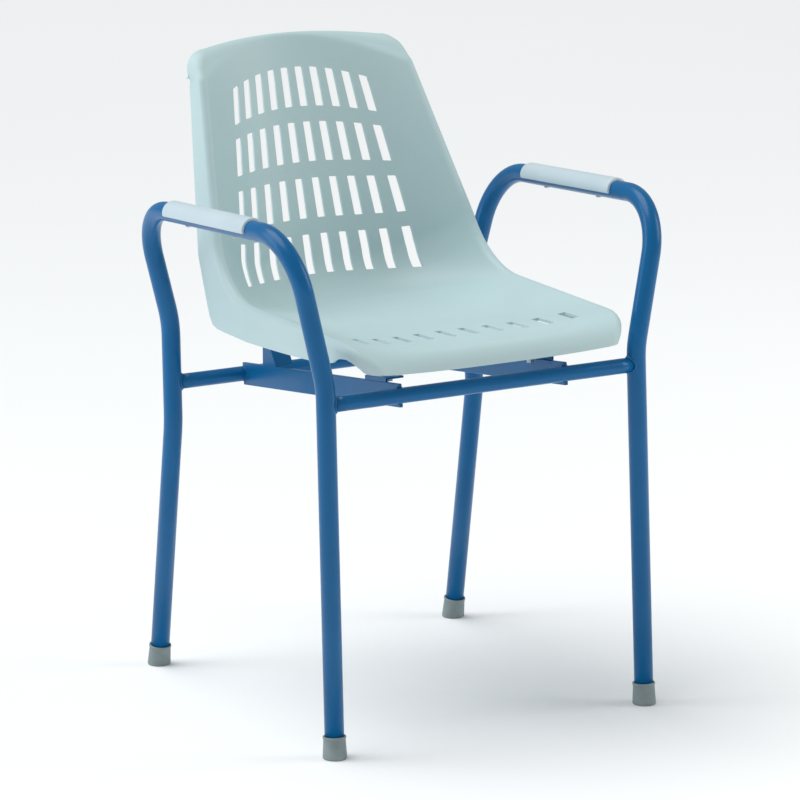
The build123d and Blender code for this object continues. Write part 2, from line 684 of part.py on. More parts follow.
def main():
    os.makedirs(PARTS_FOLDER, exist_ok=True)
    side_names = ("left", "right")

    left_envelope = side_frame(lambda point: point, hollow=False)
    left_tube = side_frame(lambda point: point, hollow=True)
    for y in pad_screw_places():
        left_tube -= pad_screw_hole(y)
    for name, tube in zip(side_names, both_sides(left_tube)):
        save(name + "_side_frame_tube", tube)

    rail_places = {"front": (FRONT_RAIL_Y, FRONT_RAIL_Z), "rear": (REAR_RAIL_Y, REAR_RAIL_Z)}
    for name, (y, z) in rail_places.items():
        rail = cross_rail(y, z, hollow=True)
        for envelope in both_sides(left_envelope):
            rail -= envelope
        longest = max(rail.solids(), key=lambda solid: solid.volume)
        save(name + "_cross_rail", longest)

    solid_rails = [cross_rail(y, z, hollow=False) for y, z in rail_places.values()]
    for name, bar in zip(side_names, both_sides(seat_bar(solid_rails))):
        save(name + "_seat_bar", bar)

    for name, bracket in zip(side_names, both_sides(rear_bracket())):
        save("rear_" + name + "_seat_bracket", bracket)
    for name, bracket in zip(side_names, both_sides(front_bracket())):
        save("front_" + name + "_seat_bracket", bracket)

    left_frames = [front_fixing_frame(), rear_fixing_frame()]
    fixings = {"seat_screws": screw, "seat_washers": washer, "seat_bushes": bush, "seat_inserts": insert}
    for node, maker in fixings.items():
        solids = []
        for frame in left_frames:
            solids += both_sides(maker(frame))
        save(node, Compound(children=solids))

    right_frames = []
    for frame in left_frames:
        origin = mirrored(tuple(frame.origin))
        right_frames.append(Plane(origin=origin, x_dir=(1, 0, 0), z_dir=frame.z_dir))
    save("seat_shell", seat_shell(left_frames + right_frames))

    for name, pad in zip(side_names, both_sides(armrest_pad())):
        save(name + "_armrest_pad", pad)
    screws = []
    for y in pad_screw_places():
        screws += both_sides(pad_screw(y))
    save("armrest_screws", Compound(children=screws))

    feet = {"front": (FRONT_FOOT, FRONT_KINK), "rear": (REAR_FOOT, REAR_LOWER_KINK)}
    discs = []
    for end, (foot, kink) in feet.items():
        for name, shape in zip(side_names, both_sides(ferrule(foot, kink))):
            save(end + "_" + name + "_ferrule", shape)
        discs += both_sides(ferrule_disc(foot, kink))
    save("ferrule_discs", Compound(children=discs))


main()
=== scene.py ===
import json
import math

import bmesh
import bpy
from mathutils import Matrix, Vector


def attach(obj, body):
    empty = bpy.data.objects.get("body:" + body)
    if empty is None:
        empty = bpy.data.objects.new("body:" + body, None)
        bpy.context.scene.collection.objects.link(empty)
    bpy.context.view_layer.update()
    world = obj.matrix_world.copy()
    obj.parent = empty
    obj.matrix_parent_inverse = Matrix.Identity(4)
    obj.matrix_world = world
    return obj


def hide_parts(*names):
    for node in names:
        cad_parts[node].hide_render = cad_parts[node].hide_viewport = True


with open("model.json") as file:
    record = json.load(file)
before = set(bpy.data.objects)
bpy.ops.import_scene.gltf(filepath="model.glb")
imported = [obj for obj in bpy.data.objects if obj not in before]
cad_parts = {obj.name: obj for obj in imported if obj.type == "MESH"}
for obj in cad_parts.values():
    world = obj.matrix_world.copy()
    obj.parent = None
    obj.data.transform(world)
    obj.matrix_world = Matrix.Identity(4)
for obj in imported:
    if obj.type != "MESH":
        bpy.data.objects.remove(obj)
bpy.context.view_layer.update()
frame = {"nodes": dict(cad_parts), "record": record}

# Sizes are in millimetres and measured from the floor point in the middle of the four feet, as in
# the CAD source. row_point() moves them into the frame and turns them into metres.
MM = 0.001
MIDDLE_OF_DEPTH_Y = 23.4

# Side frame tube, rails and seat bars.
TUBE_RADIUS = 12.5
FRONT_FOOT = (233.4, -241.6, 0.0)
FRONT_KINK = (230.6, -216.0, 474.0)
FRONT_ARM_CORNER = (271.7, -205.5, 665.5)
REAR_ARM_CORNER = (271.7, 199.0, 640.5)
REAR_UPPER_KINK = (229.3, 202.3, 480.5)
REAR_LOWER_KINK = (233.3, 190.0, 346.0)
REAR_FOOT = (231.7, 243.0, 0.0)
BEND_RADII = (150.0, 75.0, 79.0, 132.0, 120.0)
RAIL_RADIUS = 10.0
RAILS = {"front": (-217.2, 452.0), "rear": (194.8, 399.4)}
BAR_OUTER_X = 125.3
BAR_THICKNESS = 5.0
BAR_HEIGHT = 30.0

# Seat brackets and their fixings.
SHEET = 3.0
BRACKET_INNER_X = 99.0
REAR_BRACKET_TOP_Z = 447.0
REAR_BRACKET_FRONT_Y = 104.0
REAR_BRACKET_TOP_FRONT_Y = 117.5
REAR_BRACKET_BACK_Y = 140.0
FRONT_BRACKET_Y = (-184.0, -131.0)
FRONT_BRACKET_RISE = 6.0
FRONT_FIXING_X = 106.0
REAR_FIXING_X = 111.5
REAR_FIXING_Y = 130.0
FRONT_FIXING_Y = -157.5
BUSH_HEIGHT = 5.0
BOSS_RADIUS = 9.0

# Seat shell.
SHELL_WALL = 3.5
SEAT_FRONT = (-232.0, 511.0)
SEAT_BACK_CORNER = (196.5, 492.3)
SEAT_BEND_RADIUS = 65.0
BACK_LEAN = math.radians(16.4)
BACK_TOP_Z = 830.0
FRONT_ROLL_RADIUS = 24.0
TOP_ROLL_RADIUS = 6.5
RIM_FRONT = (-194.0, 517.0)
RIM_CORNER = (105.0, 521.5)
RIM_BEND_RADIUS = 130.0
RIM_LEAN = math.radians(27.7)
RIM_TOP_Z = 790.0
RIM_RADIUS = 9.0
HALF_WIDTHS = (197.0, 200.5, 192.5, 156.0)
SKIRTS = (15.0, 37.0, 38.5, 20.0)
SKIRT_SHORTEST = 5.0
FRONT_CORNER_INSET = 31.0
FRONT_CORNER_GROWTH = 10.0
FRONT_CORNER_ADVANCE = 44.0
FRONT_CORNER_DROP = 26.0
TOP_CORNER_INSET = 23.0
TOP_CORNER_GROWTH = 25.0
TOP_CORNER_ADVANCE = 14.0
BACK_ROW_HEIGHTS = (547.0, 619.5, 692.5, 764.5)
BACK_SLOT_LENGTH = 54.0
BACK_SLOT_WIDTH = 11.5
BACK_ROW_PITCHES = (28.5, 22.4)
BACK_ROW_SAG = 1.0 / 1170.0
SEAT_ROW_Y = -150.0
SEAT_ROW_PITCH = 34.4
SEAT_ROW_SAG = 1.0 / 850.0
SEAT_SLOT_LENGTH = 44.0
SEAT_SLOT_WIDTH = 10.0
SLOTS_PER_HALF_ROW = 5

# Distances along the shell over which the seat's slots turn into the back's, and over which the
# droop of the rows dies away before each lip.
SEAT_PITCH_END = 110.0
SLOT_CHANGE_START = 150.0
SLOT_CHANGE_LENGTH = 200.0
FRONT_FADE = 50.0
TOP_FADE = 40.0

# Armrest pads and ferrules.
PAD_Y = (-105.0, 113.0)
PAD_THICKNESS = 3.5
PAD_HALF_ANGLE = math.radians(97.0)
FERRULE_HEIGHT = 29.0

# Camera, measured from the same floor point.
CAMERA_PLACE = (-2958.6, -5057.0, 1767.3)
CAMERA_TARGET = (-199.3, -345.8, 479.1)
CAMERA_LENS = 206.3
CAMERA_SHIFT = (0.0001, 0.0025)


# ---------------------------------------------------------------- small helpers
def row_point(point):
    return Vector((point[0], point[1] - MIDDLE_OF_DEPTH_Y, point[2])) * MM


def mirrored(point):
    return (-point[0], point[1], point[2])


def keep(point):
    return point


SIDES = {"left": keep, "right": mirrored}


def blend(start, end, share):
    return start + (end - start) * share


def smooth_step(share):
    share = min(max(share, 0.0), 1.0)
    return share * share * (3 - 2 * share)


def along(point, direction, distance):
    return (point[0] + direction[0] * distance, point[1] + direction[1] * distance)


def make_piece(name, vertices, faces, slot, material, nodes=()):
    """A mesh piece on the chair's body, shaded smooth, with its normals facing outwards."""
    mesh = bpy.data.meshes.new(name)
    mesh.from_pydata([row_point(vertex) for vertex in vertices], [], faces)
    grown = bmesh.new()
    grown.from_mesh(mesh)
    bmesh.ops.recalc_face_normals(grown, faces=grown.faces)
    grown.to_mesh(mesh)
    grown.free()
    mesh.polygons.foreach_set("use_smooth", [True] * len(mesh.polygons))
    mesh.materials.append(material)
    piece = bpy.data.objects.new(name, mesh)
    bpy.context.scene.collection.objects.link(piece)
    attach(piece, "root")
    if nodes:
        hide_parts(*nodes)
    return piece


def round_edges(piece, width, segments=3, angle=40.0):
    """A bevel on the piece's sharp edges, with clean shading on the flats."""
    bevel = piece.modifiers.new("rounded edges", "BEVEL")
    bevel.width = width * MM
    bevel.segments = segments
    bevel.limit_method = "ANGLE"
    bevel.angle_limit = math.radians(angle)
    bevel.harden_normals = True
    return piece


def join_parts(parts):
    """Several (vertices, faces) lists as one."""
    vertices, faces = [], []
    for part_vertices, part_faces in parts:
        start = len(vertices)
        vertices += part_vertices
        faces += [[index + start for index in face] for face in part_faces]
    return vertices, faces


# ---------------------------------------------------------------- materials
def principled(name, colour, roughness):
    material = bpy.data.materials.new(name)
    material.use_nodes = True
    shader = material.node_tree.nodes["Principled BSDF"]
    shader.inputs["Base Color"].default_value = (*colour, 1.0)
    shader.inputs["Roughness"].default_value = roughness
    return material, shader


def add_noise(material, scale, detail, stretch=(1.0, 1.0, 1.0)):
    """A noise texture in the object's own space."""
    nodes, links = material.node_tree.nodes, material.node_tree.links
    place = nodes.new("ShaderNodeTexCoord")
    mapping = nodes.new("ShaderNodeMapping")
    mapping.inputs["Scale"].default_value = stretch
    noise = nodes.new("ShaderNodeTexNoise")
    noise.inputs["Scale"].default_value = scale
    noise.inputs["Detail"].default_value = detail
    links.new(place.outputs["Object"], mapping.inputs["Vector"])
    links.new(mapping.outputs["Vector"], noise.inputs["Vector"])
    return noise


def vary_colour(material, shader, noise, first, second):
    """The noise blends the base colour between two shades."""
    ramp = material.node_tree.nodes.new("ShaderNodeValToRGB")
    ramp.color_ramp.elements[0].position = 0.3
    ramp.color_ramp.elements[0].color = (*first, 1.0)
    ramp.color_ramp.elements[1].position = 0.7
    ramp.color_ramp.elements[1].color = (*second, 1.0)
    material.node_tree.links.new(noise.outputs["Fac"], ramp.inputs["Fac"])
    material.node_tree.links.new(ramp.outputs["Color"], shader.inputs["Base Color"])


def vary_roughness(material, shader, noise, low, high):
    spread = material.node_tree.nodes.new("ShaderNodeMapRange")
    spread.inputs["To Min"].default_value = low
    spread.inputs["To Max"].default_value = high
    material.node_tree.links.new(noise.outputs["Fac"], spread.inputs["Value"])
    material.node_tree.links.new(spread.outputs["Result"], shader.inputs["Roughness"])


def add_bump(material, shader, noise, strength, distance):
    bump = material.node_tree.nodes.new("ShaderNodeBump")
    bump.inputs["Strength"].default_value = strength
    bump.inputs["Distance"].default_value = distance
    material.node_tree.links.new(noise.outputs["Fac"], bump.inputs["Height"])
    material.node_tree.links.new(bump.outputs["Normal"], shader.inputs["Normal"])


def powder_coat():
    """Glossy mid-blue powder coat with a faint orange peel."""
    material, shader = principled("blue_powder_coat", (0.003, 0.12, 0.31), 0.28)
    shader.inputs["Specular IOR Level"].default_value = 0.25
    shader.inputs["Coat Weight"].default_value = 0.05
    shader.inputs["Coat Roughness"].default_value = 0.08
    vary_colour(material, shader, add_noise(material, 9.0, 3.0), (0.002, 0.112, 0.29), (0.004, 0.128, 0.33))
    add_bump(material, shader, add_noise(material, 420.0, 2.0), 0.12, 0.0004)
    return material


def shell_plastic():
    """Pale moulded polypropylene, satin, with a fine spark-eroded grain."""
    material, shader = principled("shell_plastic", (0.50, 0.65, 0.66), 0.42)
    shader.inputs["Specular IOR Level"].default_value = 0.4
    vary_colour(material, shader, add_noise(material, 6.0, 4.0), (0.485, 0.635, 0.645), (0.515, 0.665, 0.675))
    vary_roughness(material, shader, add_noise(material, 30.0, 3.0), 0.38, 0.48)
    add_bump(material, shader, add_noise(material, 1500.0, 2.0), 0.10, 0.0002)
    return material


def pad_plastic():
    """Pale grey-white moulded plastic."""
    material, shader = principled("pad_plastic", (0.55, 0.65, 0.70), 0.4)
    vary_colour(material, shader, add_noise(material, 14.0, 4.0), (0.52, 0.62, 0.67), (0.57, 0.67, 0.72))
    add_bump(material, shader, add_noise(material, 1200.0, 2.0), 0.10, 0.0002)
    return material


def bush_plastic():
    material, shader = principled("bush_plastic", (0.80, 0.82, 0.80), 0.35)
    vary_colour(material, shader, add_noise(material, 60.0, 2.0), (0.76, 0.79, 0.77), (0.83, 0.85, 0.83))
    return material


def ferrule_rubber():
    """Grey rubber with a matt bloom."""
    material, shader = principled("ferrule_rubber", (0.23, 0.28, 0.285), 0.6)
    vary_colour(material, shader, add_noise(material, 45.0, 5.0), (0.20, 0.245, 0.25), (0.26, 0.31, 0.315))
    add_bump(material, shader, add_noise(material, 900.0, 3.0), 0.2, 0.0003)
    return material


def zinc_steel():
    material, shader = principled("zinc_steel", (0.62, 0.63, 0.64), 0.35)
    shader.inputs["Metallic"].default_value = 1.0
    vary_roughness(material, shader, add_noise(material, 250.0, 4.0), 0.25, 0.5)
    return material


def plain_brass():
    material, shader = principled("plain_brass", (0.72, 0.52, 0.22), 0.3)
    shader.inputs["Metallic"].default_value = 1.0
    vary_roughness(material, shader, add_noise(material, 250.0, 4.0), 0.22, 0.42)
    return material


def floor_paint():
    material, shader = principled("floor_paint", (0.93, 0.93, 0.93), 0.7)
    vary_colour(material, shader, add_noise(material, 0.6, 2.0), (0.925, 0.925, 0.925), (0.935, 0.935, 0.935))
    return material


MATERIALS = {
    "blue_powder_coat": powder_coat(),
    "shell_plastic": shell_plastic(),
    "pad_plastic": pad_plastic(),
    "bush_plastic": bush_plastic(),
    "ferrule_rubber": ferrule_rubber(),
    "zinc_steel": zinc_steel(),
    "brass": plain_brass(),
}


# ---------------------------------------------------------------- tubes
def rounded_path(points, radii):
    """The points joined by straight runs, each corner rounded by an arc of its radius."""
    corners = [Vector(point) for point in points]
    path = [corners[0]]
    for index, radius in enumerate(radii, start=1):
        corner = corners[index]
        towards = (corners[index - 1] - corner).normalized()
        onwards = (corners[index + 1] - corner).normalized()
        half_opening = towards.angle(onwards) / 2
        setback = radius / math.tan(half_opening)
        middle = corner + (towards + onwards).normalized() * (radius / math.sin(half_opening))
        first = corner + towards * setback - middle
        last = corner + onwards * setback - middle
        turn = first.angle(last)
        steps = max(4, round(math.degrees(turn) / 2.5))
        for step in range(steps + 1):
            share = step / steps
            spoke = first * math.sin((1 - share) * turn) + last * math.sin(share * turn)
            path.append(middle + spoke / math.sin(turn))
    path.append(corners[-1])
    return path


def tube(path, radius, sides=40, closed=False, swell=None):
    """Rings carried along the path without twist. swell(index) scales the ring's radius."""
    count = len(path)
    tangents = []
    for index in range(count):
        if closed:
            before, after = path[index - 1], path[(index + 1) % count]
        else:
            before, after = path[max(index - 1, 0)], path[min(index + 1, count - 1)]
        tangents.append((after - before).normalized())
    side = tangents[0].orthogonal().normalized()
    vertices, faces = [], []
    for index, tangent in enumerate(tangents):
        side = (side - tangent * side.dot(tangent)).normalized()
        up = tangent.cross(side)
        size = radius * (swell(index) if swell else 1.0)
        for step in range(sides):
            angle = 2 * math.pi * step / sides
            vertices.append(tuple(path[index] + (side * math.cos(angle) + up * math.sin(angle)) * size))
    rings = count if closed else count - 1
    for ring in range(rings):
        following = (ring + 1) % count
        for step in range(sides):
            beside = (step + 1) % sides
            corners = (ring * sides + step, ring * sides + beside)
            faces.append([corners[0], corners[1], following * sides + beside, following * sides + step])
    if not closed:
        faces.append(list(range(sides)))
        faces.append([(count - 1) * sides + step for step in range(sides)])
    return vertices, faces


def leg_end(foot, kink):
    direction = (Vector(kink) - Vector(foot)).normalized()
    return tuple(Vector(foot) + direction * 6.5)


def side_frames():
    points = [
        leg_end(FRONT_FOOT, FRONT_KINK),
        FRONT_KINK,
        FRONT_ARM_CORNER,
        REAR_ARM_CORNER,
        REAR_UPPER_KINK,
        REAR_LOWER_KINK,
        leg_end(REAR_FOOT, REAR_LOWER_KINK),
    ]
    for name, place in SIDES.items():
        path = rounded_path([place(point) for point in points], BEND_RADII)
        vertices, faces = tube(path, TUBE_RADIUS)
        blue = ("blue_powder_coat", MATERIALS["blue_powder_coat"])
        make_piece(name + "_side_tube", vertices, faces, *blue, [name + "_side_frame_tube"])


def leg_axis_at(end, z):
    """The leg's axis (X, Y) at a height near the rail, on the +X side."""
    if end == "front":
        low, high = Vector(FRONT_FOOT), Vector(FRONT_KINK)
    else:
        low, high = Vector(REAR_LOWER_KINK), Vector(REAR_UPPER_KINK)
    share = (z - low.z) / (high.z - low.z)
    spot = low.lerp(high, share)
    return spot.x, spot.y


def weld_ring(end, place):
    """A rippled bead round the rail where it meets the leg."""
    rail_y, rail_z = RAILS[end]
    steps = 72
    path = []
    for step in range(steps):
        angle = 2 * math.pi * step / steps
        y = rail_y + (RAIL_RADIUS + 0.3) * math.cos(angle)
        z = rail_z + (RAIL_RADIUS + 0.3) * math.sin(angle)
        leg_x, leg_y = leg_axis_at(end, z)
        offset = min(abs(y - leg_y), TUBE_RADIUS - 0.5)
        x = leg_x - math.sqrt(TUBE_RADIUS ** 2 - offset ** 2) - 0.3
        path.append(Vector(place((x, y, z))))
    return tube(path, 1.7, sides=10, closed=True, swell=lambda index: 1 + 0.14 * math.sin(index * 1.4))


def rails_and_welds():
    for end, (y, z) in RAILS.items():
        leg_x, _ = leg_axis_at(end, z)
        reach = leg_x - TUBE_RADIUS + 3.0
        steps = 24
        path = [Vector((blend(-reach, reach, step / steps), y, z)) for step in range(steps + 1)]
        vertices, faces = tube(path, RAIL_RADIUS)
        blue = ("blue_powder_coat", MATERIALS["blue_powder_coat"])
        make_piece(end + "_rail", vertices, faces, *blue, [end + "_cross_rail"])
        vertices, faces = join_parts([weld_ring(end, place) for place in SIDES.values()])
        make_piece(end + "_rail_weld_beads", vertices, faces, *blue)


# ---------------------------------------------------------------- bars and brackets
REAR_RAIL_Y, REAR_RAIL_Z = RAILS["rear"]
FRONT_RAIL_Y, FRONT_RAIL_Z = RAILS["front"]
BAR_RAKE = math.atan2(FRONT_RAIL_Z - REAR_RAIL_Z, REAR_RAIL_Y - FRONT_RAIL_Y)


def bar_top_z(y):
    axis_z = FRONT_RAIL_Z - (y - FRONT_RAIL_Y) * math.tan(BAR_RAKE)
    return axis_z + BAR_HEIGHT / 2 / math.cos(BAR_RAKE)


def plate(outline, low_x, high_x):
    """A plate between two X positions, with an outline in (Y, Z)."""
    count = len(outline)
    vertices = [(x, y, z) for x in (low_x, high_x) for y, z in outline]
    faces = [list(range(count)), list(range(count, 2 * count))]
    for index in range(count):
        following = (index + 1) % count
        faces.append([index, following, count + following, count + index])
    return vertices, faces


def notch(centre, start, end):
    """Points of a half-round notch about a rail, from one angle to another."""
    steps = 16
    points = []
    for step in range(steps + 1):
        angle = blend(start, end, step / steps)
        points.append((centre[0] + RAIL_RADIUS * math.cos(angle), centre[1] + RAIL_RADIUS * math.sin(angle)))
    return points


def bar_outline():
    up = (math.sin(BAR_RAKE), math.cos(BAR_RAKE))
    front = (FRONT_RAIL_Y, FRONT_RAIL_Z)
    rear = (REAR_RAIL_Y, REAR_RAIL_Z)
    quarter = math.pi / 2
    outline = [along(front, up, -BAR_HEIGHT / 2), along(rear, up, -BAR_HEIGHT / 2)]
    outline += notch(rear, 3 * quarter - BAR_RAKE, quarter - BAR_RAKE)
    outline += [along(rear, up, BAR_HEIGHT / 2), along(front, up, BAR_HEIGHT / 2)]
    outline += notch(front, quarter - BAR_RAKE, -quarter - BAR_RAKE)
    return outline


def place_part(part, place):
    return [place(vertex) for vertex in part[0]], part[1]


def bars():
    for name, place in SIDES.items():
        bar = place_part(plate(bar_outline(), BAR_OUTER_X - BAR_THICKNESS, BAR_OUTER_X), place)
        node = name + "_seat_bar"
        piece = make_piece(name + "_bar", *bar, "blue_powder_coat", MATERIALS["blue_powder_coat"], [node])
        round_edges(piece, 0.7)


def bar_welds():
    """Short beads down both faces of each bar, where its ends meet the rails."""
    parts = []
    for place in SIDES.values():
        for end, (rail_y, rail_z) in RAILS.items():
            inward = 1 if end == "front" else -1
            for x in (BAR_OUTER_X, BAR_OUTER_X - BAR_THICKNESS):
                path = []
                for step in range(25):
                    angle = blend(-1.25, 1.25, step / 24)
                    y = rail_y + inward * (RAIL_RADIUS + 0.2) * math.cos(angle)
                    z = rail_z + (RAIL_RADIUS + 0.2) * math.sin(angle)
                    path.append(Vector(place((x, y, z))))
                parts.append(tube(path, 1.5, sides=8, swell=lambda index: 1 + 0.15 * math.sin(index * 1.9)))
    vertices, faces = join_parts(parts)
    make_piece("bar_weld_beads", vertices, faces, "blue_powder_coat", MATERIALS["blue_powder_coat"])


def folded(name, parts, node):
    """Plates of one folded sheet joined into one solid, with its edges eased."""
    pieces = []
    for vertices, faces in parts:
        mesh = bpy.data.meshes.new(name)
        mesh.from_pydata([row_point(vertex) for vertex in vertices], [], faces)
        pieces.append(mesh)
    joined = bmesh.new()
    joined.from_mesh(pieces[0])
    bmesh.ops.recalc_face_normals(joined, faces=joined.faces)
    joined.to_mesh(pieces[0])
    joined.free()
    piece = bpy.data.objects.new(name, pieces[0])
    bpy.context.scene.collection.objects.link(piece)
    for index, mesh in enumerate(pieces[1:]):
        grown = bmesh.new()
        grown.from_mesh(mesh)
        bmesh.ops.recalc_face_normals(grown, faces=grown.faces)
        grown.to_mesh(mesh)
        grown.free()
        helper = bpy.data.objects.new(name + "_fold_%d" % index, mesh)
        bpy.context.scene.collection.objects.link(helper)
        union = piece.modifiers.new("fold", "BOOLEAN")
        union.operation = "UNION"
        union.solver = "EXACT"
        union.object = helper
        bpy.context.view_layer.update()
        solid = bpy.data.meshes.new_from_object(piece.evaluated_get(bpy.context.evaluated_depsgraph_get()))
        piece.modifiers.clear()
        piece.data = solid
        bpy.data.objects.remove(helper)
    tidy = bmesh.new()
    tidy.from_mesh(piece.data)
    bmesh.ops.remove_doubles(tidy, verts=tidy.verts, dist=0.01 * MM)
    bmesh.ops.dissolve_limit(tidy, angle_limit=math.radians(1), verts=tidy.verts, edges=tidy.edges)
    tidy.to_mesh(piece.data)
    tidy.free()
    piece.data.name = name
    piece.data.polygons.foreach_set("use_smooth", [True] * len(piece.data.polygons))
    piece.data.materials.clear()
    piece.data.materials.append(MATERIALS["blue_powder_coat"])
    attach(piece, "root")
    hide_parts(node)
    round_edges(piece, 0.5, segments=2)


def brackets():
    top = REAR_BRACKET_TOP_Z
    foot_front = (REAR_BRACKET_FRONT_Y, bar_top_z(REAR_BRACKET_FRONT_Y))
    foot_back = (REAR_BRACKET_BACK_Y, bar_top_z(REAR_BRACKET_BACK_Y))
    top_front = (REAR_BRACKET_TOP_FRONT_Y, top)
    top_back = (REAR_BRACKET_BACK_Y, top)
    gusset = [foot_front, foot_back, top_back, top_front]
    wall = [
        foot_front,
        (foot_front[0] + SHEET, bar_top_z(REAR_BRACKET_FRONT_Y + SHEET)),
        (top_front[0] + SHEET, top),
        top_front,
    ]
    tab = [(top_front[0], top - SHEET), (top_back[0], top - SHEET), top_back, top_front]
    low_y, high_y = FRONT_BRACKET_Y
    rise = FRONT_BRACKET_RISE
    skirt = [(low_y, bar_top_z(low_y)), (high_y, bar_top_z(high_y))]
    skirt += [(high_y, bar_top_z(high_y) + rise), (low_y, bar_top_z(low_y) + rise)]
    front_tab = [(low_y, bar_top_z(low_y) + rise - SHEET), (high_y, bar_top_z(high_y) + rise - SHEET)]
    front_tab += skirt[2:]
    for name, place in SIDES.items():
        parts = [
            plate(gusset, BAR_OUTER_X - SHEET, BAR_OUTER_X),
            plate(wall, BRACKET_INNER_X, BAR_OUTER_X),
            plate(tab, BRACKET_INNER_X, BAR_OUTER_X),
        ]
        parts = [place_part(part, place) for part in parts]
        folded("rear_%s_bracket" % name, parts, "rear_%s_seat_bracket" % name)
        parts = [
            plate(skirt, BAR_OUTER_X - SHEET, BAR_OUTER_X),
            plate(front_tab, BRACKET_INNER_X, BAR_OUTER_X),
        ]
        parts = [place_part(part, place) for part in parts]
        folded("front_%s_bracket" % name, parts, "front_%s_seat_bracket" % name)


# ---------------------------------------------------------------- seat shell
def left_of(direction):
    return (-direction[1], direction[0])


def heading(angle):
    return (math.cos(angle), math.sin(angle))


class BentLine:
    """Two straight runs in the Y-Z plane joined by an arc: place 0 to 1, 1 to 2 and 2 to 3."""

    def __init__(self, start, corner, end, radius):
        self.first = math.atan2(corner[1] - start[1], corner[0] - start[0])
        self.second = math.atan2(end[1] - corner[1], end[0] - corner[0])
        setback = radius * math.tan((self.second - self.first) / 2)
        self.start = start
        self.end = end
        self.radius = radius
        self.arc_start = along(corner, heading(self.first), -setback)
        self.arc_end = along(corner, heading(self.second), setback)
        self.centre = along(self.arc_start, left_of(heading(self.first)), radius)
        self.lengths = (
            math.dist(start, self.arc_start),
            radius * (self.second - self.first),
            math.dist(self.arc_end, end),
        )

    def point(self, place):
        if place <= 1:
            here = tuple(blend(a, b, place) for a, b in zip(self.start, self.arc_start))
            return here, heading(self.first)
        if place >= 2:
            here = tuple(blend(a, b, place - 2) for a, b in zip(self.arc_end, self.end))
            return here, heading(self.second)
        travel = heading(blend(self.first, self.second, place - 1))
        return along(self.centre, left_of(travel), -self.radius), travel

    def place_at(self, distance):
        """The place at a distance along the line, negative before its start."""
        first, bend, second = self.lengths
        if distance <= first:
            return distance / first
        if distance <= first + bend:
            return 1 + (distance - first) / bend
        return 2 + (distance - first - bend) / second


BACK_TOP = (SEAT_BACK_CORNER[0] + (BACK_TOP_Z - SEAT_BACK_CORNER[1]) * math.tan(BACK_LEAN), BACK_TOP_Z)
RIM_TOP = (RIM_CORNER[0] + (RIM_TOP_Z - RIM_CORNER[1]) * math.tan(RIM_LEAN), RIM_TOP_Z)
CENTRE_LINE = BentLine(SEAT_FRONT, SEAT_BACK_CORNER, BACK_TOP, SEAT_BEND_RADIUS)
RIM_LINE = BentLine(RIM_FRONT, RIM_CORNER, RIM_TOP, RIM_BEND_RADIUS)


def bend_skirt(share):
    """Skirt depth round the bend, where the skirt's edge turns more tightly than the rim."""
    whole = math.pi / 2 - RIM_LEAN
    from_seat = (RIM_BEND_RADIUS + SKIRTS[1]) / math.cos(whole * share) - RIM_BEND_RADIUS
    from_back = (RIM_BEND_RADIUS + SKIRTS[2]) / math.cos(whole * (1 - share)) - RIM_BEND_RADIUS
    sharpness = 9
    return (from_seat ** -sharpness + from_back ** -sharpness) ** (-1 / sharpness)


def station(place):
    """What the cross-section needs at one place: the centre point, half width, the rim's centre, the
    way it faces, its radius, the skirt's depth and the power of the rise towards the rim."""
    if place < 0:
        angle = -place * math.pi / 2
        facing = (-math.sin(angle), math.cos(angle))
        closing = 1 - math.cos(angle)
        centre = along((SEAT_FRONT[0], SEAT_FRONT[1] - FRONT_ROLL_RADIUS), facing, FRONT_ROLL_RADIUS)
        rim = (
            RIM_FRONT[0] - FRONT_CORNER_ADVANCE * math.sin(angle),
            RIM_FRONT[1] - FRONT_CORNER_DROP * closing,
        )
        half_width = HALF_WIDTHS[0] - FRONT_CORNER_INSET * closing
        skirt = max(SKIRT_SHORTEST, SKIRTS[0] * (1 - math.sin(angle)))
        return centre, half_width, rim, facing, RIM_RADIUS + FRONT_CORNER_GROWTH * closing, skirt, 3.5
    if place > 3:
        angle = (place - 3) * math.pi / 2
        sine, cosine = math.sin(angle), math.cos(angle)
        closing = 1 - cosine
        up_back = (math.sin(BACK_LEAN), math.cos(BACK_LEAN))
        up_rim = (math.sin(RIM_LEAN), math.cos(RIM_LEAN))
        out_back, out_rim = left_of(up_back), left_of(up_rim)
        centre = along(along(BACK_TOP, up_back, TOP_ROLL_RADIUS * sine), out_back, -TOP_ROLL_RADIUS * closing)
        rim = along(along(RIM_TOP, up_rim, TOP_CORNER_ADVANCE * sine), out_rim, -TOP_CORNER_ADVANCE * sine)
        facing = (out_rim[0] * cosine + up_rim[0] * sine, out_rim[1] * cosine + up_rim[1] * sine)
        half_width = HALF_WIDTHS[3] - TOP_CORNER_INSET * closing
        skirt = max(SKIRT_SHORTEST, SKIRTS[3] * (1 - sine))
        return centre, half_width, rim, facing, RIM_RADIUS + TOP_CORNER_GROWTH * closing, skirt, 2.0
    centre, _ = CENTRE_LINE.point(place)
    rim, travel = RIM_LINE.point(place)
    if place <= 1:
        half_width = blend(HALF_WIDTHS[0], HALF_WIDTHS[1], place)
        skirt = blend(SKIRTS[0], SKIRTS[1], place ** 0.45)
        power = blend(3.5, 3.2, place)
    elif place <= 2:
        half_width = blend(HALF_WIDTHS[1], HALF_WIDTHS[2], (place - 1) ** 1.5)
        skirt = bend_skirt(place - 1)
        power = blend(3.2, 3.0, place - 1)
    else:
        half_width = blend(HALF_WIDTHS[2], HALF_WIDTHS[3], place - 2)
        skirt = blend(SKIRTS[2], SKIRTS[3], place - 2)
        power = blend(3.0, 2.0, (place - 2) ** 0.6)
    return centre, half_width, rim, left_of(travel), RIM_RADIUS, skirt, power


